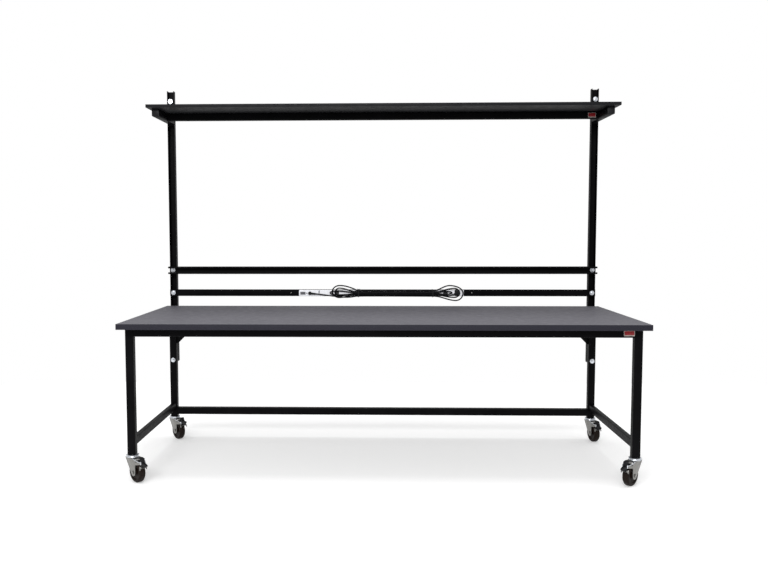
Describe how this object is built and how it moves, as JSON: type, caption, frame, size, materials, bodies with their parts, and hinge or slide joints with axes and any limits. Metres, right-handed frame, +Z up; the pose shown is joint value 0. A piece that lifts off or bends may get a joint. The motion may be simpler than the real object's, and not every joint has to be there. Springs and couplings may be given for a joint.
{
  "type": "antistatic workbench",
  "caption": "Mobile industrial workbench with a laminate worktop, braked swivel casters, rear uprights, overhead shelf, two rear rails and a power strip with a folded cord.",
  "frame": {"origin": "on the floor, under the middle of the whole bench's box", "axes": "+X along the worktop's length to the right of someone at the bench, +Y from the worktop's front edge to the uprights, +Z up"},
  "size_m": [2.4384, 0.9632, 1.961],
  "materials": {
    "worktop_laminate": "fine matte grey static-dissipative laminate",
    "worktop_edge": "dark edge band",
    "worktop_core": "particle board with a dark backing sheet",
    "frame_paint": "semi-gloss black powder coat",
    "shelf_finish": "black laminated board",
    "zinc": "bright zinc plate",
    "caster_wheel": "brown-black moulded tread",
    "black_plastic": "satin moulded plastic",
    "strip_case": "white enamel",
    "cord_jacket": "satin black cord jacket"
  },
  "bodies": {
    "bench": {"worktop_laminate": "worktop_laminate", "worktop_edge_band": "worktop_edge", "worktop_core": "worktop_core", "front_left_leg": "frame_paint", "front_right_leg": "frame_paint", "rear_left_leg": "frame_paint", "rear_right_leg": "frame_paint", "front_apron": "frame_paint", "rear_apron": "frame_paint", "left_apron": "frame_paint", "right_apron": "frame_paint", "left_side_rail": "frame_paint", "right_side_rail": "frame_paint", "rear_stretcher": "frame_paint", "left_knee_plate": "frame_paint", "right_knee_plate": "frame_paint", "left_upright": "frame_paint", "right_upright": "frame_paint", "upper_rail": "frame_paint", "lower_rail": "frame_paint", "shelf_board": "shelf_finish", "left_shelf_arm": "frame_paint", "right_shelf_arm": "frame_paint", "shelf_beam": "frame_paint", "left_leg_bolt": "zinc", "right_leg_bolt": "zinc", "left_lower_rail_bolt": "zinc", "right_lower_rail_bolt": "zinc", "left_upper_rail_bolt": "zinc", "right_upper_rail_bolt": "zinc", "left_shelf_bolt": "zinc", "right_shelf_bolt": "zinc", "front_left_stem_crown": "zinc", "front_right_stem_crown": "zinc", "rear_left_stem_crown": "zinc", "rear_right_stem_crown": "zinc", "strip_housing": "strip_case", "cord_gland": "black_plastic", "cord_lead": "cord_jacket", "cord_hank": "cord_jacket", "cord_plug": "black_plastic", "tie_left": "black_plastic", "tie_right": "black_plastic"},
    "front_left_caster": {"front_left_fork": "zinc", "front_left_axle": "zinc"},
    "front_left_roller": {"front_left_wheel": "caster_wheel"},
    "front_left_pedal": {"front_left_brake_pedal": "black_plastic"},
    "front_right_caster": {"front_right_fork": "zinc", "front_right_axle": "zinc"},
    "front_right_roller": {"front_right_wheel": "caster_wheel"},
    "front_right_pedal": {"front_right_brake_pedal": "black_plastic"},
    "rear_left_caster": {"rear_left_fork": "zinc", "rear_left_axle": "zinc"},
    "rear_left_roller": {"rear_left_wheel": "caster_wheel"},
    "rear_left_pedal": {"rear_left_brake_pedal": "black_plastic"},
    "rear_right_caster": {"rear_right_fork": "zinc", "rear_right_axle": "zinc"},
    "rear_right_roller": {"rear_right_wheel": "caster_wheel"},
    "rear_right_pedal": {"rear_right_brake_pedal": "black_plastic"},
    "rocker": {"rocker_switch": "black_plastic"}
  },
  "joints": [
    {"name": "front_left_swivel", "type": "hinge", "parent": "bench", "child": "front_left_caster", "pos_m": [-1.1811, -0.3863, 0.118], "axis": [0, 0, 1], "continuous": true},
    {"name": "front_left_roll", "type": "hinge", "parent": "front_left_caster", "child": "front_left_roller", "pos_m": [-1.15038, -0.41494, 0.0508], "axis": [0.682, 0.7314, 0], "continuous": true},
    {"name": "front_left_brake", "type": "hinge", "parent": "front_left_caster", "child": "front_left_pedal", "pos_m": [-1.13283, -0.43131, 0.1055], "axis": [0.682, 0.7314, 0], "range_deg": [-15, 10]},
    {"name": "front_right_swivel", "type": "hinge", "parent": "bench", "child": "front_right_caster", "pos_m": [1.1811, -0.3863, 0.118], "axis": [0, 0, 1], "continuous": true},
    {"name": "front_right_roll", "type": "hinge", "parent": "front_right_caster", "child": "front_right_roller", "pos_m": [1.1514, -0.416, 0.0508], "axis": [0.7071, -0.7071, 0], "continuous": true},
    {"name": "front_right_brake", "type": "hinge", "parent": "front_right_caster", "child": "front_right_pedal", "pos_m": [1.13443, -0.43297, 0.1055], "axis": [0.7071, -0.7071, 0], "range_deg": [-15, 10]},
    {"name": "rear_left_swivel", "type": "hinge", "parent": "bench", "child": "rear_left_caster", "pos_m": [-1.1811, 0.4138, 0.118], "axis": [0, 0, 1], "continuous": true},
    {"name": "rear_left_roll", "type": "hinge", "parent": "rear_left_caster", "child": "rear_left_roller", "pos_m": [-1.153, 0.38259, 0.0508], "axis": [0.7431, 0.6691, 0], "continuous": true},
    {"name": "rear_left_brake", "type": "hinge", "parent": "rear_left_caster", "child": "rear_left_pedal", "pos_m": [-1.13694, 0.36475, 0.1055], "axis": [0.7431, 0.6691, 0], "range_deg": [0, 25]},
    {"name": "rear_right_swivel", "type": "hinge", "parent": "bench", "child": "rear_right_caster", "pos_m": [1.1811, 0.4138, 0.118], "axis": [0, 0, 1], "continuous": true},
    {"name": "rear_right_roll", "type": "hinge", "parent": "rear_right_caster", "child": "rear_right_roller", "pos_m": [1.19019, 0.3728, 0.0508], "axis": [0.9763, 0.2164, 0], "continuous": true},
    {"name": "rear_right_brake", "type": "hinge", "parent": "rear_right_caster", "child": "rear_right_pedal", "pos_m": [1.19538, 0.34936, 0.1055], "axis": [0.9763, 0.2164, 0], "range_deg": [-15, 10]},
    {"name": "rocker_tilt", "type": "hinge", "parent": "bench", "child": "rocker", "pos_m": [-0.44, 0.39575, 0.8305], "axis": [0, 0, 1], "range_deg": [-14, 0]}
  ]
}
